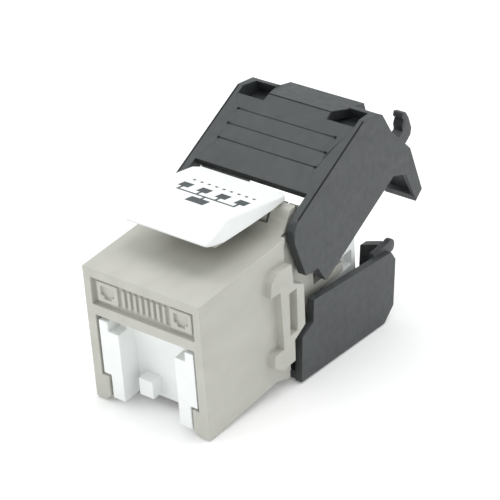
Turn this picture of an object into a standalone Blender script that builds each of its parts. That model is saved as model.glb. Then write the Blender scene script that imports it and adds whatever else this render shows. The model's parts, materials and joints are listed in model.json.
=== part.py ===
"""Tool-less network keystone jack with a dust shutter, a snap latch and two hinged cable jaws.

Sizes are in millimetres in the constants and in metres in the scene. x is to the right,
y runs from the port to the cable, z is up. The design y starts at the port face, and the
scene's origin is on the housing underside, ORIGIN_SETBACK behind that face.
"""
import math
from collections import namedtuple

import bmesh
import bpy

MM = 0.001
ORIGIN_SETBACK = 12.5
GAP = 0.3

# Front housing.
HALF_WIDTH = 7.25
HEIGHT = 16.0
BODY_DEPTH = 14.0
CAVITY_HALF = 6.15
CAVITY_TOP = 14.8
FACE_THICK = 2.2
PORT_TOP = 10.5
PORT_STEP = 3.15
KEYWAY_HALF = 5.3
FLOOR_START = 11.3
FLOOR_THICK = 1.2
LABEL_HALF = 6.35
LABEL_BOTTOM, LABEL_TOP = 11.7, 14.9
LABEL_DEPTH = 0.65
SHOULDER_HALF = 6.7
SHOULDER_RADIUS = 2.4
SHOULDER_TOP = 18.2
SHOULDER_REAR = 17.0
LUG_INNER, LUG_OUTER = 7.0, 8.1

# Shutter and the port's contacts.
TRUNNION_Y, TRUNNION_Z = 2.1, 1.15
TRUNNION_RADIUS = 0.5
SHUTTER_HALF = 5.9
SHUTTER_FOOT_HALF = 5.05
SHUTTER_TOP = 9.95
SHUTTER_DEPTH = 3.2
CONTACT_PITCH = 1.02
CONTACT_WIDTH = 0.45
CONTACT_THICK = 0.34
CONTACT_COUNT = 8

# Rear housing and wire termination.
CHEEK_OUTER, CHEEK_INNER = 6.6, 5.6
REAR_START, REAR_END = 14.3, 19.6
REAR_TOP = 15.7
BOSS_RADIUS, SOCKET_RADIUS = 1.1, 1.25
BLADE_ROWS = {"upper": 8.6, "lower": 4.6}
BLADE_COLUMNS = (-4.2, -1.4, 1.4, 4.2)
MANAGER_HALF = 6.4
MANAGER_FRONT, MANAGER_REAR = 21.6, 27.6
MANAGER_BOTTOM, MANAGER_TOP = 2.9, 10.3
GUIDE_BOTTOM, GUIDE_TOP = 5.9, 7.1

# Jaws. Each outline is drawn closed, from a corner whose place is given closed.
UPPER_CORNER = (17.42, 17.95)
LOWER_CORNER = (15.165, -1.82)
JAW_INNER, JAW_OUTER = 7.0, 8.0
TRAY_INNER, TRAY_OUTER = 7.3, 8.15
CABLE_HALF = 4.0
HOOD_HALF = 4.7

Seat = namedtuple("Seat", "y z tilt")
FIXED = Seat(0.0, 0.0, 0.0)
LATCH_ROOT = Seat(16.4, 16.6, 0.0)
SHUTTER_AXIS = Seat(TRUNNION_Y, TRUNNION_Z, 0.0)
UPPER_HINGE = Seat(17.72, 12.95, 24.0)
LOWER_HINGE = Seat(16.565, 3.179, -7.08)


def clear_scene():
    for item in list(bpy.data.objects):
        bpy.data.objects.remove(item, do_unlink=True)


def plastic(name, colour, roughness, metallic=0.0):
    """A material with one Principled BSDF."""
    made = bpy.data.materials.new(name)
    made.use_nodes = True
    shader = made.node_tree.nodes["Principled BSDF"]
    shader.inputs["Base Color"].default_value = (*colour, 1.0)
    shader.inputs["Roughness"].default_value = roughness
    shader.inputs["Metallic"].default_value = metallic
    return made


def finished(name, shape, seat):
    """The object made from a bmesh, with its origin and its tilt on the seat's hinge."""
    bmesh.ops.translate(shape, verts=shape.verts, vec=(0, -seat.y, -seat.z))
    bmesh.ops.scale(shape, verts=shape.verts, vec=(MM, MM, MM))
    bmesh.ops.recalc_face_normals(shape, faces=shape.faces)
    mesh = bpy.data.meshes.new(name)
    shape.to_mesh(mesh)
    shape.free()
    made = bpy.data.objects.new(name, mesh)
    bpy.context.collection.objects.link(made)
    made.location = (0, (seat.y - ORIGIN_SETBACK) * MM, seat.z * MM)
    made.rotation_euler.x = math.radians(seat.tilt)
    return made


def prism(name, outline, low, high, axis="X", seat=FIXED):
    """An outline drawn across the axis, filled and carried along it from low to high.

    Across X the outline is (y, z), across Y it is (x, z) and across Z it is (x, y).
    """
    order = {"X": lambda a, b, c: (c, a, b), "Y": lambda a, b, c: (a, c, b), "Z": lambda a, b, c: (a, b, c)}
    spot = order[axis]
    shape = bmesh.new()
    face = shape.faces.new([shape.verts.new(spot(a, b, low)) for a, b in outline])
    lifted = bmesh.ops.extrude_face_region(shape, geom=[face])["geom"]
    moved = [item for item in lifted if isinstance(item, bmesh.types.BMVert)]
    bmesh.ops.translate(shape, verts=moved, vec=spot(0, 0, high - low))
    return finished(name, shape, seat)


def box(name, x, y, z, seat=FIXED):
    return prism(name, [(x[0], y[0]), (x[1], y[0]), (x[1], y[1]), (x[0], y[1])], z[0], z[1], "Z", seat)


def arc(centre, radius, start, end, steps):
    """Points on a circle, from one angle to another in degrees."""
    turns = [math.radians(start + (end - start) * step / steps) for step in range(steps + 1)]
    return [(centre[0] + radius * math.cos(turn), centre[1] + radius * math.sin(turn)) for turn in turns]


def rod(name, x, centre, radius, sides=20, seat=FIXED):
    """A round bar along X, smooth round its side."""
    made = prism(name, arc(centre, radius, 0, 360 * (sides - 1) / sides, sides - 1), x[0], x[1], "X", seat)
    made.data.shade_smooth()
    made.data.set_sharp_from_angle(angle=math.radians(40))
    return made


def spread(side, low, high):
    """The span from low to high on one side of the centre plane, in rising order."""
    return tuple(sorted((side * low, side * high)))


def combine(target, operation, tools):
    for tool in tools:
        tool.hide_render = True
        tool.display_type = "WIRE"
        step = target.modifiers.new(tool.name, "BOOLEAN")
        step.operation = operation
        step.solver = "EXACT"
        step.object = tool
    return target


def cut(target, *tools):
    return combine(target, "DIFFERENCE", tools)


def join(target, *pieces):
    return combine(target, "UNION", pieces)


def offset_strip(path, thickness):
    """The outline of a bent strip: the path moved half its thickness to each side."""
    left, right = [], []
    for index, (a, b) in enumerate(path):
        before = path[max(index - 1, 0)]
        after = path[min(index + 1, len(path) - 1)]
        run, rise = after[0] - before[0], after[1] - before[1]
        half = thickness / 2 / math.hypot(run, rise)
        left.append((a - rise * half, b + run * half))
        right.append((a + rise * half, b - run * half))
    return left + right[::-1]


def shoulder_outline(front_limit):
    """The side view of the latch root, which rises in a curve from the housing's top."""
    rise = arc((13.4, HEIGHT + SHOULDER_RADIUS), SHOULDER_RADIUS, -90, -12, 8)
    rise = [point for point in rise if point[0] < front_limit - 0.1]
    if front_limit < SHOULDER_REAR:
        return [(12.6, 15.4), (12.6, HEIGHT), *rise, (front_limit, rise[-1][1] + 0.1), (front_limit, 15.4)]
    return [(12.6, 15.4), (12.6, HEIGHT), *rise, (16.0, SHOULDER_TOP), (SHOULDER_REAR, SHOULDER_TOP),
            (SHOULDER_REAR, HEIGHT), (13.9, HEIGHT), (13.9, 15.4)]


def lug_outline():
    """A side lug: two forward hooks on a bar, with a blunt tail."""
    return [(13.97, 13.36), (11.54, 13.65), (10.5, 12.92), (10.19, 11.33), (11.85, 11.16), (11.97, 4.09),
            (10.37, 4.2), (10.24, 2.74), (11.69, 1.71), (13.78, 1.69), (13.88, 4.2), (15.78, 5.08),
            (15.88, 9.94), (14.15, 10.93)]


def front_housing(grey):
    body = box("front_housing", (-HALF_WIDTH, HALF_WIDTH), (0, BODY_DEPTH), (0, HEIGHT))
    pieces = [
        prism("shoulder", shoulder_outline(SHOULDER_REAR), -SHOULDER_HALF, SHOULDER_HALF),
        prism("shoulder_foot", shoulder_outline(14.2), -HALF_WIDTH, HALF_WIDTH),
    ]
    for side in (-1, 1):
        pieces.append(prism(f"lug_{side}", lug_outline(), *spread(side, LUG_INNER, LUG_OUTER)))
        flare = [(11.5, 0.5), (11.5, 0.0), (13.8, -0.9), (13.9, -0.9), (13.9, 0.5)]
        pieces.append(prism(f"flare_{side}", flare, *spread(side, 4.5, HALF_WIDTH)))
    join(body, *pieces)
    inside = (-CAVITY_HALF, CAVITY_HALF)
    tools = [
        box("cavity", inside, (FACE_THICK, BODY_DEPTH + 0.5), (FLOOR_THICK, CAVITY_TOP)),
        box("port", inside, (-1, FACE_THICK + 1), (PORT_STEP, PORT_TOP)),
        box("keyway", (-KEYWAY_HALF, KEYWAY_HALF), (-1, FACE_THICK + 1), (-1, PORT_STEP + 0.5)),
        box("underside_window", inside, (FACE_THICK, FLOOR_START), (-1, FLOOR_THICK + 0.5)),
        box("label", (-LABEL_HALF, LABEL_HALF), (-1, LABEL_DEPTH), (LABEL_BOTTOM, LABEL_TOP)),
        box("latch_slot", (-4.5, 4.5), (15.0, SHOULDER_REAR + 1), (HEIGHT - 0.2, SHOULDER_TOP + 1)),
    ]
    for side in (-1, 1):
        chamfer = [(side * 5.1, 0.9), (side * 6.1, -0.1), (side * 6.1, -1), (side * 5.1, -1)]
        tools.append(prism(f"chamfer_{side}", chamfer, -1, FACE_THICK + 1, "Y"))
        window = [(13.28, 10.14), (14.61, 10.11), (14.42, 5.08), (13.14, 5.1)]
        tools.append(prism(f"lug_window_{side}", window, *spread(side, HALF_WIDTH, LUG_OUTER + 1)))
        hole = (TRUNNION_Y, TRUNNION_Z)
        tools.append(rod(f"trunnion_hole_{side}", spread(side, 5.0, 6.75), hole, TRUNNION_RADIUS + 0.15))
    tools.append(rod("spring_pocket", (-6.2, -5.2), (TRUNNION_Y, TRUNNION_Z), 1.25, 20))
    cut(body, *tools)
    body.data.materials.append(grey)


def shutter(white):
    """A T-shaped door with two thick pillars and a recessed panel between them."""
    depth = (0.1, SHUTTER_DEPTH)
    body = prism("shutter", [(2.0, SHUTTER_TOP), (2.75, 6.2), (2.8, 0.6), (SHUTTER_DEPTH, 0.6),
                             (SHUTTER_DEPTH, SHUTTER_TOP)], -3.7, 3.7, "X", SHUTTER_AXIS)
    pieces, tools = [], []
    for side in (-1, 1):
        foot, head = side * SHUTTER_FOOT_HALF, side * SHUTTER_HALF
        pillar = [(side * 3.5, 0.55), (foot, 0.55), (foot, 3.35), (head, 3.35), (head, SHUTTER_TOP),
                  (side * 3.5, SHUTTER_TOP)]
        pieces.append(prism(f"pillar_{side}", pillar, *depth, "Y", SHUTTER_AXIS))
        axle = rod(f"trunnion_{side}", spread(side, 4.8, 6.5), (TRUNNION_Y, TRUNNION_Z), TRUNNION_RADIUS,
                   20, SHUTTER_AXIS)
        pieces.append(axle)
        notch = spread(side, 3.3, 4.8)
        tools.append(box(f"notch_{side}", notch, (-1, 1.6), (8.8, SHUTTER_TOP + 1), SHUTTER_AXIS))
    pieces.append(box("shutter_tab", (-2.5, -0.7), (1.3, 3.0), (1.2, 3.3), SHUTTER_AXIS))
    join(body, *pieces)
    cut(body, *tools)
    body.data.materials.append(white)


def shutter_spring(steel):
    """A torsion spring on the left trunnion: one leg behind the door, one along the floor."""
    wire, coil, turns, per_turn = 0.13, 0.88, 2, 12
    # The coil winds from its upper leg to its lower leg.
    points = [(-5.3, 3.45, 5.2), (-5.3, 3.45, 2.9)]
    for step in range(turns * per_turn + 1):
        angle = math.radians(20 - 360 * step / per_turn)
        across = -5.35 - 0.6 * step / (turns * per_turn)
        points.append((across, TRUNNION_Y + coil * math.cos(angle), TRUNNION_Z + coil * math.sin(angle)))
    points += [(-5.97, TRUNNION_Y + coil + 0.2, 0.7), (-5.98, 5.4, 0.5)]
    path = bpy.data.curves.new("shutter_spring", "CURVE")
    path.dimensions = "3D"
    path.bevel_depth = wire * MM
    path.bevel_resolution = 1
    path.use_fill_caps = True
    line = path.splines.new("POLY")
    line.points.add(len(points) - 1)
    for knot, (x, y, z) in zip(line.points, points):
        knot.co = (x * MM, (y - ORIGIN_SETBACK) * MM, z * MM, 1)
    made = bpy.data.objects.new("shutter_spring", path)
    bpy.context.collection.objects.link(made)
    path.materials.append(steel)


def contacts(carrier_white, gold):
    """The port's contact carrier and the wires bent round its front edge."""
    carrier = box("contact_carrier", (-5.85, 5.85), (4.4, 13.6), (11.6, 13.6))
    teeth = [box(f"comb_{step}", (step - 0.3, step + 0.3), (3.9, 4.9), (11.6, 14.4))
             for step in [CONTACT_PITCH * index for index in range(-4, 5)]]
    join(carrier, *teeth)
    carrier.data.materials.append(carrier_white)
    path = [(15.4, 13.95)] + arc((4.2, 12.95), 1.0, 90, 180, 5) + arc((4.0, 12.0), 0.8, 180, 242.6, 4)
    path.append((9.6, 8.19))
    for index in range(CONTACT_COUNT):
        middle = CONTACT_PITCH * (index - (CONTACT_COUNT - 1) / 2)
        sides = (middle - CONTACT_WIDTH / 2 + 0.02, middle + CONTACT_WIDTH / 2 - 0.02)
        wire = prism(f"contact_wire_{index + 1}", offset_strip(path, CONTACT_THICK), *sides)
        wire.data.materials.append(gold)


def rear_housing(grey):
    """The frame that carries both jaw hinges, the circuit board and the manager's guides."""
    body = box("rear_housing", (-CHEEK_OUTER, CHEEK_OUTER), (REAR_START, REAR_END), (0, REAR_TOP))
    pieces = []
    for side in (-1, 1):
        arm = spread(side, 5.7, CHEEK_OUTER)
        pieces.append(box(f"guide_{side}", arm, (REAR_END - 1, 25.0), (GUIDE_BOTTOM, GUIDE_TOP)))
        rib = spread(side, CHEEK_OUTER - 0.5, JAW_INNER - 0.05)
        pieces.append(box(f"rib_{side}", rib, (REAR_START + 0.1, 15.2), (9.7, 11.5)))
    for low, high in ((-3.4, -1.9), (-1.0, 0.6), (1.6, 4.4), (5.1, 5.9)):
        pieces.append(box(f"tooth_{low}", (low, high), (17.3, 18.3), (REAR_TOP - 0.5, 17.4)))
    join(body, *pieces)
    inside = (-CHEEK_INNER, CHEEK_INNER)
    tools = [
        box("rear_pocket", inside, (REAR_START + 1, REAR_END + 6), (0.8, REAR_TOP - 1)),
        box("wire_slot", (-4.4, 4.4), (REAR_START - 1, REAR_START + 2), (13.3, 14.5)),
    ]
    for hinge in (UPPER_HINGE, LOWER_HINGE):
        for side in (-1, 1):
            across = spread(side, CHEEK_INNER - 0.5, CHEEK_OUTER + 1)
            tools.append(rod(f"socket_{hinge.z}_{side}", across, (hinge.y, hinge.z), SOCKET_RADIUS))
    cut(body, *tools)
    body.data.materials.append(grey)


def termination(green, white, brass):
    """The circuit board, two terminal blocks and their forked blades."""
    board = box("circuit_board", (-5.3, 5.3), (15.7, 16.5), (1.1, 14.4))
    board.data.materials.append(green)
    spans = {"upper": (7.0, 14.3), "lower": (1.2, 6.6)}
    fork = [(-0.9, 17.2), (0.9, 17.2), (0.9, 21.6), (0.55, 22.2), (0.17, 21.4), (0.17, 19.9), (-0.17, 19.9),
            (-0.17, 21.4), (-0.55, 22.2), (-0.9, 21.6)]
    for row, height in BLADE_ROWS.items():
        block = box(f"{row}_terminal_block", (-5.3, 5.3), (16.9, 19.4), spans[row])
        cut(block, *[box(f"{row}_seat_{middle}", (middle - 1.05, middle + 1.05), (17.05, 20),
                         (height - 0.35, height + 0.35)) for middle in BLADE_COLUMNS])
        block.data.materials.append(white)
        for number, middle in enumerate(BLADE_COLUMNS, 1):
            outline = [(middle + x, y) for x, y in fork]
            blade = prism(f"{row}_blade_{number}", outline, height - 0.2, height + 0.2, "Z")
            blade.data.materials.append(brass)


def wire_manager(white):
    """The sliding block that holds the eight conductors over the blades."""
    body = box("wire_manager", (-MANAGER_HALF, MANAGER_HALF), (MANAGER_FRONT, MANAGER_REAR),
               (MANAGER_BOTTOM, MANAGER_TOP))
    tools = []
    for middle in BLADE_COLUMNS:
        for row, height in BLADE_ROWS.items():
            edge = (MANAGER_TOP - 1.3, MANAGER_TOP + 1)
            if row == "lower":
                edge = (MANAGER_BOTTOM - 1, MANAGER_BOTTOM + 1.3)
            slot = (middle - 1.05, middle + 1.05)
            tools.append(box(f"{row}_slot_{middle}", slot, (MANAGER_FRONT - 1, 24.6),
                             (height - 0.35, height + 0.35)))
            tools.append(box(f"{row}_groove_{middle}", (middle - 0.55, middle + 0.55),
                             (MANAGER_FRONT - 1, MANAGER_REAR + 1), edge))
    for side in (-1, 1):
        tools.append(box(f"rail_{side}", spread(side, 5.4, MANAGER_HALF + 1), (MANAGER_FRONT - 1, 26.9),
                         (GUIDE_BOTTOM - GAP, GUIDE_TOP + GAP)))
    cut(body, *tools)
    body.data.materials.append(white)


def latch(grey, white):
    """The flexing arm that rises from the housing's rear, and the cap on it."""
    arm = [(17.0, 16.15), (17.0, 18.25), (14.0, 18.25), (7.0, 18.55), (7.0, 17.85), (10.0, 17.6),
           (15.3, 17.3), (15.3, 16.15)]
    made = prism("latch_arm", arm, -4.2, 4.2, "X", LATCH_ROOT)
    made.data.materials.append(grey)
    cap = [(17.17, 19.2), (7.2, 21.5), (4.6, 19.6), (4.75, 19.35), (6.3, 19.25), (10.8, 18.85), (14.5, 18.6),
           (17.17, 18.6)]
    plate = prism("latch_plate", cap, -5.72, 5.72, "X", LATCH_ROOT)
    for side in (-1, 1):
        corner = [(side * 4.1, 3.5), (side * 6.5, 3.5), (side * 6.5, 6.6), (side * 5.72, 6.6),
                  (side * 5.2, 5.2)]
        cut(plate, prism(f"cap_corner_{side}", corner, 17, 23, "Z", LATCH_ROOT))
    plate.data.materials.append(white)


def from_corner(corner, outline):
    """An outline drawn from a jaw's corner, moved to where the closed jaw has it."""
    return [(corner[0] + u, corner[1] + v) for u, v in outline]


def upper_jaw(black):
    """The hinged cap: two cheeks, a roof with cable windows and a hood, hook arms and a pull tab."""
    seat = UPPER_HINGE
    roof = from_corner(UPPER_CORNER, [(3.5, 0), (13.6, 0), (13.2, -1.1), (3.5, -1.0)])
    body = prism("upper_jaw", roof, -JAW_OUTER + 0.3, JAW_OUTER - 0.3, "X", seat)
    hood = from_corner(UPPER_CORNER, [(13.6, 0), (17.6, -3.1), (17.4, -4.5), (13.2, -1.1), (13.0, -0.5)])
    cheek = from_corner(UPPER_CORNER, [
        (0, 0), (-0.88, -0.46), (-1.44, -1.78), (-1.84, -6.68), (-1.1, -7.2), (-0.02, -7.83), (0.23, -10.28),
        (0.53, -10.5), (14.59, -10.5), (16.3, -12.36), (16.28, -17.12), (17.82, -16.83), (18.34, -10.25),
        (17.41, -7.52), (16.65, -5.52), (16.28, -2.16), (15.79, -1.45), (13.6, 0)])
    slope = from_corner(UPPER_CORNER, [(13.0, -0.5), (13.6, 0), (15.79, -1.45), (16.28, -2.16), (16.4, -3.2),
                                       (15.2, -3.2), (13.2, -1.1)])
    arm = from_corner(UPPER_CORNER, [
        (15.2, -2.6), (16.3, -2.6), (16.65, -5.52), (17.41, -7.52), (18.34, -10.25), (17.82, -16.83),
        (16.28, -17.12), (16.28, -16.1), (17.0, -16.0), (17.2, -10.3), (16.4, -7.9), (15.7, -5.6)])
    pieces = [prism("hood", hood, -HOOD_HALF, HOOD_HALF, "X", seat)]
    tools = []
    for side in (-1, 1):
        pieces.append(prism(f"cheek_{side}", cheek, *spread(side, JAW_INNER, JAW_OUTER), "X", seat))
        across = spread(side, HOOD_HALF - 0.1, JAW_OUTER - 0.3)
        pieces.append(prism(f"slope_{side}", slope, *across, "X", seat))
        pieces.append(prism(f"arm_{side}", arm, *spread(side, CABLE_HALF, JAW_OUTER), "X", seat))
        boss = spread(side, 6.0, JAW_INNER + 0.4)
        pieces.append(rod(f"upper_boss_{side}", boss, (seat.y, seat.z), BOSS_RADIUS, 20, seat))
        front, crease, rear = [UPPER_CORNER[0] + u for u in (12.55, 13.6, 15.3)]
        window = [(side * 3.95, front), (side * 7.3, front), (side * 7.3, crease), (side * 7.05, rear),
                  (side * 4.6, rear), (side * 3.95, crease)]
        tools.append(prism(f"window_{side}", window, UPPER_CORNER[1] - 5, UPPER_CORNER[1] + 2, "Z", seat))
        catch_room = spread(side, JAW_INNER - 0.5, TRAY_INNER + 0.35)
        tools.append(box(f"catch_room_{side}", catch_room, (28.3, 34.2), (1.95, 8.2), seat))
    tab = from_corner(UPPER_CORNER, [
        (17.6, -12.0), (19.9, -12.0), (20.95, -11.85), (21.45, -11.3), (21.6, -9.6), (21.45, -8.6),
        (21.0, -8.2), (20.6, -8.6), (20.75, -9.1), (20.2, -9.5), (20.0, -10.2), (19.2, -10.2), (17.6, -9.8)])
    pieces.append(prism("pull_tab", tab, 4.9, 6.1, "X", seat))
    join(body, *pieces)
    cut(body, *tools)
    body.data.materials.append(black)


def lower_jaw(black):
    """The hinged tray: two cheeks, a floor, rear corner walls, round-headed catches and bosses."""
    seat = LOWER_HINGE
    floor = from_corner(LOWER_CORNER, [
        (0.2, 0), (15.83, 0), (17.49, 1.57), (17.46, 2.6), (16.2, 2.6), (15.4, 1.0), (0.2, 1.0)])
    body = prism("lower_jaw", floor, -JAW_OUTER + 0.2, JAW_OUTER - 0.2, "X", seat)
    cheek = from_corner(LOWER_CORNER, [(0, 0), (-0.17, 5.40), (1.77, 6.39), (1.75, 8.98), (16.49, 8.5),
                                       (17.43, 7.35), (17.49, 1.57), (15.83, 0)])
    head = arc((17.45, 8.55), 0.85, -60, 130, 8)
    catch = from_corner(LOWER_CORNER, [(14.2, 7.6), *head, (16.2, 9.1), (14.2, 8.9)])
    rear = LOWER_CORNER[0] + 17.4
    floor_z, low_z, high_z = [LOWER_CORNER[1] + v for v in (2.0, 8.3, 8.95)]
    pieces = []
    for side in (-1, 1):
        wall = [(side * 4.3, floor_z), (side * 7.4, floor_z), (side * 7.4, high_z), (side * 6.3, high_z),
                (side * 4.3, low_z)]
        pieces.append(prism(f"tray_cheek_{side}", cheek, *spread(side, TRAY_INNER, TRAY_OUTER), "X", seat))
        pieces.append(prism(f"tray_wall_{side}", wall, rear - 1.2, rear, "Y", seat))
        pieces.append(prism(f"catch_{side}", catch, *spread(side, 6.75, TRAY_INNER + 0.1), "X", seat))
        boss = spread(side, 6.0, TRAY_INNER + 0.4)
        pieces.append(rod(f"lower_boss_{side}", boss, (seat.y, seat.z), BOSS_RADIUS, 20, seat))
    join(body, *pieces)
    body.data.materials.append(black)


def build():
    clear_scene()
    grey = plastic("warm_grey_plastic", (0.50, 0.48, 0.42), 0.45)
    white = plastic("white_plastic", (0.85, 0.87, 0.86), 0.35)
    black = plastic("black_plastic", (0.045, 0.048, 0.05), 0.38)
    green = plastic("board_green", (0.03, 0.16, 0.08), 0.4)
    gold = plastic("gold_plate", (0.83, 0.62, 0.24), 0.25, 1.0)
    brass = plastic("tinned_bronze", (0.70, 0.66, 0.55), 0.3, 1.0)
    steel = plastic("spring_steel", (0.6, 0.6, 0.62), 0.3, 1.0)
    front_housing(grey)
    rear_housing(grey)
    latch(grey, white)
    shutter(white)
    shutter_spring(steel)
    contacts(white, gold)
    termination(green, white, brass)
    wire_manager(white)
    upper_jaw(black)
    lower_jaw(black)


build()
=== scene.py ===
"""The looks of a tool-less network keystone jack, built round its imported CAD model.

Sizes are in millimetres: x to the right, y from the port face to the cable, z up. place() turns them into
the frame's metres. Each visible CAD node is taken over by a piece of the same shape with moulded detail and
rounded edges.
"""
import json
import math

import bmesh
import bpy
from mathutils import Matrix, Vector


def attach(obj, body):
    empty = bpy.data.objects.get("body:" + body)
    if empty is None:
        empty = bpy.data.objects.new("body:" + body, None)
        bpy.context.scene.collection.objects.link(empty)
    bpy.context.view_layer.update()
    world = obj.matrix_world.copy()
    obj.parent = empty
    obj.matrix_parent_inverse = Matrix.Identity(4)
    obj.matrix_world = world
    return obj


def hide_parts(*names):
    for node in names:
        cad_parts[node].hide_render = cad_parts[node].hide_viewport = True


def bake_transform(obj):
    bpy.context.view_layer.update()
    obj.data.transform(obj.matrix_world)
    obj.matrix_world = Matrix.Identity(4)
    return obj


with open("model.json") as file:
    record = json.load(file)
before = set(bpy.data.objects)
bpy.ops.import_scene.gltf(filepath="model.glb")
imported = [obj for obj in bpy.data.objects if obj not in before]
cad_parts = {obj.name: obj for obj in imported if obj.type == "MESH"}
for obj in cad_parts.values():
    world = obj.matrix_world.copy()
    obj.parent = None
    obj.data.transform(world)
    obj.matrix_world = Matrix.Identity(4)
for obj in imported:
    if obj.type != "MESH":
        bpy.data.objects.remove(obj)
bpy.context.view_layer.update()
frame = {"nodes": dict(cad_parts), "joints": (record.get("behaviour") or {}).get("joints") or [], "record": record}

MM = 0.001
ORIGIN_SETBACK = 12.5
# Corners closer than this, in millimetres, become one.
NEAREST = 0.004
SLOT_OF = {part["node"]: part["material_slot"] for part in frame["record"]["subparts"]}
BODY_OF = {node: body for body, nodes in frame["record"]["behaviour"]["bodies"].items() for node in nodes}
JOINT_OF = {joint["child"]: joint for joint in frame["joints"]}

# The closed upper jaw: its top front corner as (y, z), how far behind that its roof bends, its half width.
UPPER_CORNER = (17.42, 17.95)
ROOF_CREASE = 13.6
ROOF_EDGE = 8.0

# Roof grooves: how far each is behind the corner, their half length, half width and depth.
GROOVES = (6.72, 8.7, 10.74)
GROOVE_END, GROOVE_HALF, GROOVE_DEPTH = 6.05, 0.05, 0.08
DIMPLE_X, DIMPLE_RADIUS, DIMPLE_DEPTH = 6.1, 0.16, 0.2
CREASE_END, CREASE_HALF = 3.9, 0.04
# The groove along each roof edge: how far in it starts and ends, and its depth.
EDGE_GROOVE, EDGE_GROOVE_DEPTH = (0.1, 0.22), 0.18

# Dark webs under each roof window, a floor and an inner wall put where there is only shade (painted shade):
# outlines behind and below the corner, then where they begin and end across.
WINDOW_SHADE_FLOOR = [(11.8, -0.9), (12.4, -0.9), (12.6, -1.9), (13.4, -2.0), (15.6, -2.9), (15.6, -3.3),
                (13.2, -2.5), (12.2, -2.3)], 3.7, 7.3
WINDOW_SHADE_WALL = [(12.1, -0.8), (13.1, -0.8), (15.6, -2.8), (15.6, -3.3), (13.2, -2.5), (12.2, -2.3)], 3.5, 3.93

# The cap's sloping top, from its rear edge to its front edge, as (y, z).
CAP_REAR, CAP_FRONT = (17.17, 19.2), (7.2, 21.5)
CAP_CORNER_RADIUS = 0.8

# The printed sign on the cap, round a middle a little to the right.
SIGN_MIDDLE, SIGN_PITCH, DASH_PITCH = 0.6, 2.3, 0.92
SIGN_LINE = 0.13

# The pictograms in the label recess: y from their faces to inside the recess's floor, and sizes across it.
RELIEF_Y = (0.32, 0.9)
SOCKET_MIDDLE, SOCKET_HALF, SOCKET_Z = 4.55, 1.3, (12.15, 14.45)
SOCKET_HOLE_FLOOR = 0.62
STRIP_COUNT, STRIP_PITCH, STRIP_HALF, STRIP_Z = 8, 0.72, 0.17, (12.25, 14.35)

# The width of the rounding on each piece's edges.
HOUSING_ROUNDING, JAW_ROUNDING, CAP_ROUNDING = 0.09, 0.06, 0.2
ROUNDING = {"rear_housing": 0.07, "latch_arm": 0.15, "shutter": 0.1, "contact_carrier": 0.05,
            "wire_manager": 0.08, "lower_jaw": 0.07, "upper_terminal_block": 0.08,
            "lower_terminal_block": 0.08, "circuit_board": 0.04}
WIRE_ROUNDING = 0.05


# ---------------------------------------------------------------- geometry

def place(x, y, z):
    """A point in millimetres, in the frame's metres."""
    return Vector((x * MM, (y - ORIGIN_SETBACK) * MM, z * MM))


def closed_to_rest(body, degrees):
    """Carries a shape drawn with a jaw closed to where the jaw stands at rest."""
    hinge = Vector(JOINT_OF[body]["pos_m"])
    turn = Matrix.Rotation(math.radians(degrees), 4, "X")
    return Matrix.Translation(hinge) @ turn @ Matrix.Translation(-hinge)


UPPER_OPEN = closed_to_rest("upper_jaw", -JOINT_OF["upper_jaw"]["range_deg"][0])
STILL = Matrix.Identity(4)


def new_object(name, shape):
    """An object in the scene with a bmesh's shape."""
    mesh = bpy.data.meshes.new(name)
    shape.to_mesh(mesh)
    shape.free()
    made = bpy.data.objects.new(name, mesh)
    bpy.context.scene.collection.objects.link(made)
    return made


def prism(name, outline, low, high, axis="X", seat=STILL):
    """A closed outline carried along an axis: (y, z) points along X, (x, z) along Y, (x, y) along Z."""
    spots = {"X": lambda a, b, c: place(c, a, b), "Y": lambda a, b, c: place(a, c, b),
             "Z": lambda a, b, c: place(a, b, c)}
    spot = spots[axis]
    shape = bmesh.new()
    first = [shape.verts.new(spot(a, b, low)) for a, b in outline]
    last = [shape.verts.new(spot(a, b, high)) for a, b in outline]
    shape.faces.new(first)
    shape.faces.new(last[::-1])
    for index in range(len(outline)):
        after = (index + 1) % len(outline)
        shape.faces.new((first[index], last[index], last[after], first[after]))
    bmesh.ops.recalc_face_normals(shape, faces=shape.faces)
    bmesh.ops.transform(shape, matrix=seat, verts=shape.verts)
    return new_object(name, shape)


def box(name, x, y, z, seat=STILL):
    return prism(name, [(x[0], y[0]), (x[1], y[0]), (x[1], y[1]), (x[0], y[1])], z[0], z[1], "Z", seat)


def disc(centre, radius, sides=20):
    """The outline of a circle."""
    turns = [2 * math.pi * step / sides for step in range(sides)]
    return [(centre[0] + radius * math.cos(turn), centre[1] + radius * math.sin(turn)) for turn in turns]


def copy_of(node):
    """A piece with a CAD node's shape, its flat faces laid out again in well-shaped triangles."""
    shape = bmesh.new()
    shape.from_mesh(frame["nodes"][node].data)
    bmesh.ops.remove_doubles(shape, verts=shape.verts, dist=NEAREST * MM)
    bmesh.ops.dissolve_limit(shape, angle_limit=math.radians(1), verts=shape.verts, edges=shape.edges)
    bmesh.ops.triangulate(shape, faces=shape.faces)
    bmesh.ops.recalc_face_normals(shape, faces=shape.faces)
    return new_object(f"{node}_shell", shape)


def combine(made, operation, tools):
    """Joins the tools to a piece or cuts them from it, and removes them."""
    for tool in tools:
        step = made.modifiers.new(tool.name, "BOOLEAN")
        step.operation = operation
        step.solver = "EXACT"
        step.object = tool
    bpy.context.view_layer.update()
    graph = bpy.context.evaluated_depsgraph_get()
    mesh = bpy.data.meshes.new_from_object(made.evaluated_get(graph))
    made.modifiers.clear()
    made.data = mesh
    for tool in tools:
        bpy.data.objects.remove(tool, do_unlink=True)
    shape = bmesh.new()
    shape.from_mesh(mesh)
    bmesh.ops.remove_doubles(shape, verts=shape.verts, dist=NEAREST * MM)
    bmesh.ops.triangulate(shape, faces=shape.faces)
    shape.to_mesh(mesh)
    shape.free()
    return made


def cut(made, *tools):
    return combine(made, "DIFFERENCE", tools)


def join(made, *pieces):
    return combine(made, "UNION", pieces)


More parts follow.
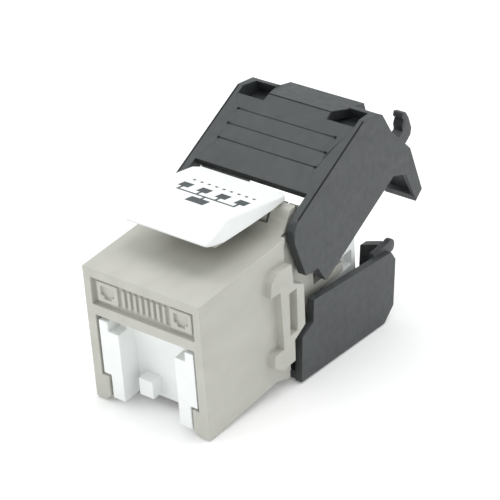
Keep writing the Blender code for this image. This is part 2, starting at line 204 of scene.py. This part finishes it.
def soften(made, width, segments=3):
    """Rounds every edge sharper than 30 degrees, as a moulded edge is."""
    step = made.modifiers.new("rounding", "BEVEL")
    step.width = width * MM
    step.segments = segments
    step.limit_method = "ANGLE"
    step.angle_limit = math.radians(30)
    step.use_clamp_overlap = False
    step.miter_outer = "MITER_ARC"
    flat = made.modifiers.new("flat_faces", "WEIGHTED_NORMAL")
    flat.mode = "FACE_AREA"
    flat.weight = 100
    made.data.shade_smooth()
    return made


def dress(made, node, material):
    """Puts the material on a piece, and has it stand for its node."""
    made.data.materials.clear()
    made.data.materials.append(material)
    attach(made, BODY_OF[node])
    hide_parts(node)
    return made


# ---------------------------------------------------------------- materials

class Recipe:
    """A node-based material, with its texture space in the piece's own metres."""

    def __init__(self, name):
        self.material = bpy.data.materials.new(name)
        self.material.use_nodes = True
        self.nodes = self.material.node_tree.nodes
        self.links = self.material.node_tree.links
        self.shader = self.nodes["Principled BSDF"]
        self.space = self.nodes.new("ShaderNodeTexCoord").outputs["Object"]

    def stretched(self, scale):
        mapping = self.nodes.new("ShaderNodeMapping")
        mapping.inputs["Scale"].default_value = scale
        self.links.new(self.space, mapping.inputs["Vector"])
        return mapping.outputs["Vector"]

    def noise(self, grain_mm, detail=2.0, space=None):
        """Noise whose lumps are about grain_mm across."""
        made = self.nodes.new("ShaderNodeTexNoise")
        made.inputs["Scale"].default_value = 1 / (grain_mm * MM)
        made.inputs["Detail"].default_value = detail
        self.links.new(space or self.space, made.inputs["Vector"])
        return made.outputs["Fac"]

    def ramp(self, value, low, high, start=0.3, end=0.7):
        """Turns a value into a colour between two."""
        made = self.nodes.new("ShaderNodeValToRGB")
        made.color_ramp.elements[0].position = start
        made.color_ramp.elements[0].color = (*low, 1)
        made.color_ramp.elements[1].position = end
        made.color_ramp.elements[1].color = (*high, 1)
        self.links.new(value, made.inputs["Fac"])
        return made.outputs["Color"]

    def spread(self, value, low, high, start=0.3, end=0.7):
        """Turns a value into a number between two."""
        made = self.nodes.new("ShaderNodeMapRange")
        made.inputs["From Min"].default_value = start
        made.inputs["From Max"].default_value = end
        made.inputs["To Min"].default_value = low
        made.inputs["To Max"].default_value = high
        self.links.new(value, made.inputs["Value"])
        return made.outputs["Result"]

    def bump(self, height, strength, depth_mm, under=None):
        made = self.nodes.new("ShaderNodeBump")
        made.inputs["Strength"].default_value = strength
        made.inputs["Distance"].default_value = depth_mm * MM
        self.links.new(height, made.inputs["Height"])
        if under:
            self.links.new(under, made.inputs["Normal"])
        return made.outputs["Normal"]

    def feed(self, socket, value):
        self.links.new(value, self.shader.inputs[socket])


def shade(colour, by):
    return tuple(min(1.0, channel * by) for channel in colour)


def moulded(name, colour, roughness, grain, swing=0.05):
    """Injection-moulded plastic: spark-eroded grain, slow flow marks and a little colour variation."""
    made = Recipe(name)
    flow = made.noise(2.6, 3.0, made.stretched((1.0, 0.45, 1.0)))
    made.feed("Base Color", made.ramp(flow, shade(colour, 1 - swing), shade(colour, 1 + swing)))
    smear = made.noise(0.9, 4.0)
    made.feed("Roughness", made.spread(smear, roughness - 0.06, roughness + 0.07))
    waves = made.bump(made.noise(3.5, 1.0), 0.25, 0.02)
    made.feed("Normal", made.bump(made.noise(0.11, 2.0), grain, 0.012, waves))
    return made.material


def metal(name, colour, roughness):
    """Plated or drawn metal: fine lines along the strip, and small changes of shine."""
    made = Recipe(name)
    lines = made.noise(0.08, 3.0, made.stretched((1.0, 0.08, 0.3)))
    made.feed("Base Color", made.ramp(made.noise(0.8, 2.0), shade(colour, 0.9), shade(colour, 1.05)))
    made.feed("Roughness", made.spread(lines, roughness - 0.08, roughness + 0.12))
    made.feed("Normal", made.bump(lines, 0.2, 0.004))
    made.shader.inputs["Metallic"].default_value = 1.0
    return made.material


def solder_mask(name, colour):
    """A circuit board: copper tracks show as lighter raised bands under the green lacquer."""
    made = Recipe(name)
    bands = made.nodes.new("ShaderNodeTexWave")
    bands.inputs["Scale"].default_value = 230
    bands.inputs["Distortion"].default_value = 2.5
    bands.inputs["Detail"].default_value = 0
    made.links.new(made.space, bands.inputs["Vector"])
    made.feed("Base Color", made.ramp(bands.outputs["Fac"], colour, shade(colour, 1.7), 0.55, 0.62))
    made.feed("Roughness", made.spread(made.noise(0.5), 0.28, 0.4))
    made.feed("Normal", made.bump(bands.outputs["Fac"], 0.3, 0.02))
    return made.material


def ink(name, colour):
    """Pad-printed ink, thin in places."""
    made = Recipe(name)
    made.feed("Base Color", made.ramp(made.noise(0.12, 3.0), shade(colour, 0.85), shade(colour, 1.35)))
    made.feed("Roughness", made.spread(made.noise(0.3), 0.42, 0.58))
    made.feed("Normal", made.bump(made.noise(0.08), 0.1, 0.004))
    return made.material


MATERIALS = {
    "warm_grey": moulded("warm_grey_plastic", (0.49, 0.485, 0.44), 0.47, 0.30),
    "white": moulded("white_plastic", (0.86, 0.88, 0.87), 0.36, 0.14, 0.02),
    "black": moulded("black_plastic", (0.044, 0.049, 0.051), 0.46, 0.26, 0.10),
    "board": solder_mask("board_lacquer", (0.03, 0.16, 0.08)),
    "gold": metal("gold_plate", (0.83, 0.62, 0.24), 0.24),
    "tinned": metal("tinned_bronze", (0.70, 0.66, 0.55), 0.32),
    "steel": metal("spring_steel", (0.60, 0.60, 0.62), 0.28),
}
INK = ink("print_ink", (0.055, 0.065, 0.07))


# ---------------------------------------------------------------- pieces

def label_relief():
    """Raised pictograms for the label recess: two sockets, with the eight contact strips between them."""
    made = []
    low, high = SOCKET_Z
    for side in (-1, 1):
        middle = side * SOCKET_MIDDLE
        rim = [(middle + x, z) for x, z in ((-SOCKET_HALF, low), (SOCKET_HALF, low), (SOCKET_HALF, high),
                                            (-SOCKET_HALF, high))]
        symbol = prism(f"socket_{side}", rim, *RELIEF_Y, "Y")
        hole = [(middle + x, low + z) for x, z in ((-0.85, 0.8), (-0.45, 0.8), (-0.45, 0.4), (0.45, 0.4),
                                                   (0.45, 0.8), (0.85, 0.8), (0.85, 1.9), (-0.85, 1.9))]
        made.append(cut(symbol, prism(f"socket_hole_{side}", hole, 0, SOCKET_HOLE_FLOOR, "Y")))
    for index in range(STRIP_COUNT):
        middle = (index - (STRIP_COUNT - 1) / 2) * STRIP_PITCH
        made.append(box(f"strip_{index}", (middle - STRIP_HALF, middle + STRIP_HALF), RELIEF_Y, STRIP_Z))
    return made


def front_housing():
    """The grey housing, with raised pictograms in its label recess."""
    shell = copy_of("front_housing")
    join(shell, *label_relief())
    return dress(soften(shell, HOUSING_ROUNDING), "front_housing", MATERIALS["warm_grey"])


def roof_tools():
    """What is cut from the roof: grooves that end in dimples, one at the crease and one along each edge."""
    front, top = UPPER_CORNER
    above = top + 1
    tools = []
    for along in GROOVES:
        middle = front + along
        tools.append(box(f"groove_{along}", (-GROOVE_END, GROOVE_END),
                         (middle - GROOVE_HALF, middle + GROOVE_HALF), (top - GROOVE_DEPTH, above),
                         UPPER_OPEN))
        for side in (-1, 1):
            end = disc((side * DIMPLE_X, middle), DIMPLE_RADIUS)
            tools.append(prism(f"dimple_{along}_{side}", end, top - DIMPLE_DEPTH, above, "Z", UPPER_OPEN))
    crease = front + ROOF_CREASE - 0.1
    tools.append(box("crease_groove", (-CREASE_END, CREASE_END), (crease - CREASE_HALF, crease + CREASE_HALF),
                     (top - GROOVE_DEPTH, above), UPPER_OPEN))
    for side in (-1, 1):
        across = sorted(side * (ROOF_EDGE - inward) for inward in EDGE_GROOVE)
        tools.append(box(f"edge_groove_{side}", across, (front + 0.3, crease),
                         (top - EDGE_GROOVE_DEPTH, above), UPPER_OPEN))
    return tools


def upper_jaw():
    """The black jaw, with its grooves, and a black floor and inner wall under each cable window that stand in for
    the shade inside it (painted shade).
    """
    shell = copy_of("upper_jaw")
    # The floor and wall joined here are dark plastic put where there is only shade inside each window: painted
    # shade.
    for outline, inner, outer in (WINDOW_SHADE_FLOOR, WINDOW_SHADE_WALL):
        outline = [(UPPER_CORNER[0] + u, UPPER_CORNER[1] + v) for u, v in outline]
        spans = [sorted((side * inner, side * outer)) for side in (-1, 1)]
        join(shell, *[prism(f"window_shade_web_{low}", outline, low, high, "X", UPPER_OPEN)
                      for low, high in spans])
    cut(shell, *roof_tools())
    return dress(soften(shell, JAW_ROUNDING, 2), "upper_jaw", MATERIALS["black"])


def latch_plate():
    """The white cap, with its rear corners rounded as seen from above."""
    plate = copy_of("latch_plate")
    shape = bmesh.new()
    shape.from_mesh(plate.data)
    rear = place(0, 17.1, 0).y
    corners = [edge for edge in shape.edges
               if all(vert.co.y > rear and abs(vert.co.x) > 5.7 * MM for vert in edge.verts)
               and abs(edge.verts[0].co.x - edge.verts[1].co.x) < NEAREST * MM]
    bmesh.ops.bevel(shape, geom=corners, offset=CAP_CORNER_RADIUS * MM, segments=5, profile=0.5,
                    affect="EDGES")
    shape.to_mesh(plate.data)
    shape.free()
    return dress(soften(plate, CAP_ROUNDING), "latch_plate", MATERIALS["white"])


def cap_print():
    """A printed sign for the cap: a hub with four ends, and a row of dashes."""
    run, rise = CAP_FRONT[0] - CAP_REAR[0], CAP_FRONT[1] - CAP_REAR[1]
    slope = Matrix.Translation(place(0, *CAP_REAR)) @ Matrix.Rotation(math.atan2(-rise, -run), 4, "X")
    flat = slope @ Matrix.Translation(-place(0, 0, 0))
    made = []

    def mark(middle, half, start, end):
        """A printed rectangle, from start to end forward of the cap's rear edge."""
        made.append(box(f"mark_{len(made)}", (middle - half, middle + half), (-end, -start), (-0.02, 0.012),
                        flat))

    for index in range(9):
        mark(SIGN_MIDDLE + (index - 4) * DASH_PITCH, 0.16, 3.65, 3.95)
    for index in range(4):
        middle = SIGN_MIDDLE + (index - 1.5) * SIGN_PITCH
        mark(middle, 0.62, 4.9, 6.1)
        mark(middle, SIGN_LINE, 6.1, 6.8)
    mark(SIGN_MIDDLE, 3.58, 6.8, 7.06)
    mark(SIGN_MIDDLE, SIGN_LINE, 7.06, 7.6)
    mark(SIGN_MIDDLE, 1.1, 7.6, 8.9)
    sign = join(made[0], *made[1:])
    sign.name = "cap_sign"
    sign.data.materials.clear()
    sign.data.materials.append(INK)
    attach(sign, "latch")


def shutter_spring():
    """A torsion spring of one smooth wire, built standing still."""
    axle = Vector(JOINT_OF["shutter"]["pos_m"])
    wire, coil, turns, per_turn = 0.1 * MM, 0.88 * MM, 2, 28
    points = [place(-5.3, 3.45, 5.2), place(-5.3, 3.45, 2.9)]
    for step in range(turns * per_turn + 1):
        angle = math.radians(20 - 360 * step / per_turn)
        across = (-5.35 - 0.6 * step / (turns * per_turn)) * MM
        points.append(Vector((across, axle.y + coil * math.cos(angle), axle.z + coil * math.sin(angle))))
    points += [place(-6.01, 3.18, 0.7), place(-6.01, 5.4, 0.5)]
    path = bpy.data.curves.new("spring_path", "CURVE")
    path.dimensions = "3D"
    path.bevel_depth = wire
    path.bevel_resolution = 3
    path.use_fill_caps = True
    line = path.splines.new("POLY")
    line.points.add(len(points) - 1)
    for knot, point in zip(line.points, points):
        knot.co = (*point, 1)
    bent = bpy.data.objects.new("spring_path", path)
    bpy.context.scene.collection.objects.link(bent)
    bpy.context.view_layer.update()
    graph = bpy.context.evaluated_depsgraph_get()
    mesh = bpy.data.meshes.new_from_object(bent.evaluated_get(graph))
    bpy.data.objects.remove(bent, do_unlink=True)
    shape = bmesh.new()
    shape.from_mesh(mesh)
    bmesh.ops.remove_doubles(shape, verts=shape.verts, dist=NEAREST * MM)
    bmesh.ops.recalc_face_normals(shape, faces=shape.faces)
    made = new_object("spring_wire", shape)
    made.data.shade_smooth()
    made.data.set_sharp_from_angle(angle=math.radians(40))
    made.data.materials.clear()
    made.data.materials.append(MATERIALS["steel"])
    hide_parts("shutter_spring")
    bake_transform(made)


front_housing()
upper_jaw()
latch_plate()
cap_print()
for node, width in ROUNDING.items():
    dress(soften(copy_of(node), width), node, MATERIALS[SLOT_OF[node]])
for node in frame["nodes"]:
    if "contact_wire" in node or "blade" in node:
        dress(soften(copy_of(node), WIRE_ROUNDING, 2), node, MATERIALS[SLOT_OF[node]])
shutter_spring()


# ---------------------------------------------------------------- stage

def camera():
    """The camera, from above the port's right corner."""
    right = Vector((0.80948, 0.58444, -0.05625))
    back = Vector((0.51643, -0.66313, 0.54181))
    up = back.cross(right)
    made = bpy.data.objects.new("camera", bpy.data.cameras.new("camera"))
    bpy.context.scene.collection.objects.link(made)
    pose = Matrix((right, up, back)).transposed().to_4x4()
    pose.translation = Vector((0.112635, -0.139362, 0.128440))
    made.matrix_world = pose
    made.data.lens = 151.6
    made.data.sensor_width = 36
    made.data.clip_start = 0.001
    bpy.context.scene.camera = made


def floor():
    """A pale floor that touches the housing's front edge and the lower jaw's rear edge."""
    half = 0.6
    drop, run = 3.56, 30.27
    tilt = math.atan2(drop, run)
    start = Vector((0, -ORIGIN_SETBACK * MM, -0.0001))
    along_y = Vector((0, math.cos(tilt), -math.sin(tilt)))
    shape = bmesh.new()
    corners = [(-half, -half), (half, -half), (half, half), (-half, half)]
    shape.faces.new([shape.verts.new(start + Vector((x, 0, 0)) + along_y * y) for x, y in corners])
    made = new_object("floor", shape)
    paint = Recipe("floor_paper")
    paint.feed("Base Color", paint.ramp(paint.noise(6, 3.0), (0.93, 0.93, 0.93), (0.95, 0.95, 0.95)))
    paint.shader.inputs["Roughness"].default_value = 0.9
    paint.shader.inputs["Emission Color"].default_value = (1, 1, 1, 1)
    paint.shader.inputs["Emission Strength"].default_value = 0.12
    made.data.materials.append(paint.material)


def soft_light(name, place_m, size_m, watts):
    """An area light that faces the jack."""
    made = bpy.data.objects.new(name, bpy.data.lights.new(name, "AREA"))
    made.data.shape = "RECTANGLE"
    made.data.size, made.data.size_y = size_m
    made.data.energy = watts
    made.location = place_m
    made.rotation_euler = (Vector(place_m) * -1).to_track_quat("-Z", "Y").to_euler()
    bpy.context.scene.collection.objects.link(made)


def lighting():
    """A pale studio: soft light from all round, and three area lights."""
    world = bpy.data.worlds.new("studio")
    bpy.context.scene.world = world
    world.use_nodes = True
    world.node_tree.nodes["Background"].inputs["Color"].default_value = (0.98, 1.0, 1.0, 1)
    world.node_tree.nodes["Background"].inputs["Strength"].default_value = 0.75
    soft_light("key", (0.06, 0.14, 0.42), (0.35, 0.35), 0.85)
    soft_light("fill", (-0.30, -0.28, 0.24), (0.30, 0.30), 0.45)
    soft_light("roof", (-0.17, 0.01, 0.27), (0.12, 0.20), 0.12)


camera()
floor()
lighting()
bpy.context.scene.view_settings.view_transform = "Standard"
